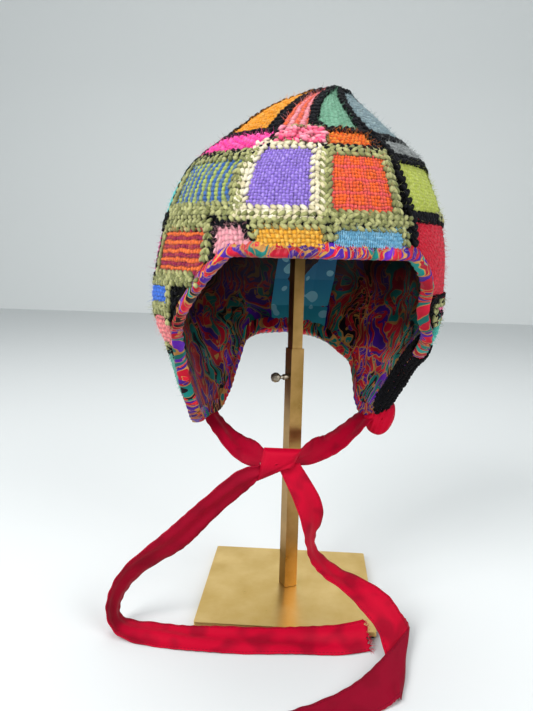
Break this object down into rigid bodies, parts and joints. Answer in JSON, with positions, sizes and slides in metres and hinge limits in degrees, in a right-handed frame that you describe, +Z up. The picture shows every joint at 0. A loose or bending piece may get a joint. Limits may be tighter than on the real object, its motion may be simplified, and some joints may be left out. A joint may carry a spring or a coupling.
{
  "type": "earflap hat on a stand",
  "caption": "Patchwork knitted hat with ear flaps and a satin lining, on a square-tube stand; its ribbon ties are knotted in front of the pole and trail on the table.",
  "frame": {"origin": "middle of the underside of the stand's base, on the table", "axes": "+Z up along the pole; the face opening of the hat looks towards -Y; +X is on the right of the picture"},
  "size_m": [0.2218, 0.2696, 0.369],
  "materials": {
    "felt": "dark felt pad",
    "brass": "polished brass, lightly smudged",
    "screw_steel": "dull plated steel",
    "black_wool": "knotty black wool crochet",
    "printed_satin": "printed satin, folded and puckered",
    "label_print": "woven label with pale spots",
    "red_ribbon": "satin ribbon",
    "amber_wedge_yarn": "knitted yarn square",
    "coral_gusset_yarn": "knitted yarn square",
    "sage_wedge_yarn": "knitted yarn square",
    "mist_wedge_yarn": "knitted yarn square",
    "plum_wedge_yarn": "knitted yarn square",
    "ochre_wedge_yarn": "knitted yarn square",
    "teal_wedge_yarn": "knitted yarn square",
    "hot_pink_yarn": "knitted yarn square",
    "pink_bobble_yarn": "knitted yarn square",
    "tangerine_yarn": "knitted yarn square",
    "grey_yarn": "knitted yarn square",
    "ice_yarn": "knitted yarn square",
    "sea_green_yarn": "knitted yarn square",
    "mustard_yarn": "knitted yarn square",
    "lilac_yarn": "knitted yarn square",
    "navy_tweed_yarn": "knitted yarn square",
    "lime_stripe_yarn": "knitted yarn square",
    "violet_yarn": "knitted yarn square",
    "orange_plaid_yarn": "knitted yarn square",
    "lime_yarn": "knitted yarn square",
    "moss_yarn": "knitted yarn square",
    "rose_yarn": "knitted yarn square",
    "cobalt_yarn": "knitted yarn square",
    "brick_yarn": "knitted yarn square",
    "turquoise_yarn": "knitted yarn square",
    "maroon_stripe_yarn": "knitted yarn square",
    "blush_yarn": "knitted yarn square",
    "gold_yarn": "knitted yarn square",
    "sky_yarn": "knitted yarn square",
    "scarlet_yarn": "knitted yarn square",
    "pewter_yarn": "knitted yarn square",
    "apple_yarn": "knitted yarn square",
    "cherry_yarn": "knitted yarn square",
    "sand_yarn": "knitted yarn square",
    "magenta_yarn": "knitted yarn square",
    "candy_yarn": "knitted yarn square",
    "mint_yarn": "knitted yarn square",
    "peach_yarn": "knitted yarn square",
    "orange_hem_yarn": "knitted yarn square",
    "lime_hem_yarn": "knitted yarn square",
    "royal_blue_yarn": "knitted yarn square",
    "salmon_yarn": "knitted yarn square",
    "fern_flap_yarn": "knitted yarn square",
    "jade_flap_yarn": "knitted yarn square"
  },
  "bodies": {
    "root": {"base_pad": "felt", "base_plate": "brass", "lower_tube": "brass", "upper_tube": "brass", "thumb_screw": "screw_steel", "head_disc": "brass", "crochet_frame": "black_wool", "patch_amber_wedge": "amber_wedge_yarn", "patch_coral_gusset": "coral_gusset_yarn", "patch_sage_wedge": "sage_wedge_yarn", "patch_mist_wedge": "mist_wedge_yarn", "patch_plum_wedge": "plum_wedge_yarn", "patch_ochre_wedge": "ochre_wedge_yarn", "patch_teal_wedge": "teal_wedge_yarn", "patch_hot_pink": "hot_pink_yarn", "patch_pink_bobble": "pink_bobble_yarn", "patch_tangerine": "tangerine_yarn", "patch_grey": "grey_yarn", "patch_ice": "ice_yarn", "patch_sea_green": "sea_green_yarn", "patch_mustard": "mustard_yarn", "patch_lilac": "lilac_yarn", "patch_navy_tweed": "navy_tweed_yarn", "patch_lime_stripe": "lime_stripe_yarn", "patch_violet": "violet_yarn", "patch_orange_plaid": "orange_plaid_yarn", "patch_lime": "lime_yarn", "patch_moss": "moss_yarn", "patch_rose": "rose_yarn", "patch_cobalt": "cobalt_yarn", "patch_brick": "brick_yarn", "patch_turquoise": "turquoise_yarn", "patch_maroon_stripe": "maroon_stripe_yarn", "patch_blush": "blush_yarn", "patch_gold": "gold_yarn", "patch_sky": "sky_yarn", "patch_scarlet": "scarlet_yarn", "patch_pewter": "pewter_yarn", "patch_apple": "apple_yarn", "patch_cherry": "cherry_yarn", "patch_sand": "sand_yarn", "patch_magenta": "magenta_yarn", "patch_candy": "candy_yarn", "patch_mint": "mint_yarn", "patch_peach": "peach_yarn", "patch_orange_hem": "orange_hem_yarn", "patch_lime_hem": "lime_hem_yarn", "patch_royal_blue": "royal_blue_yarn", "patch_salmon": "salmon_yarn", "patch_fern_flap": "fern_flap_yarn", "patch_jade_flap": "jade_flap_yarn", "lining": "printed_satin", "label": "label_print", "tie_left": "red_ribbon", "tie_right": "red_ribbon", "knot": "red_ribbon", "tail_left": "red_ribbon", "tail_right": "red_ribbon"}
  },
  "joints": []
}
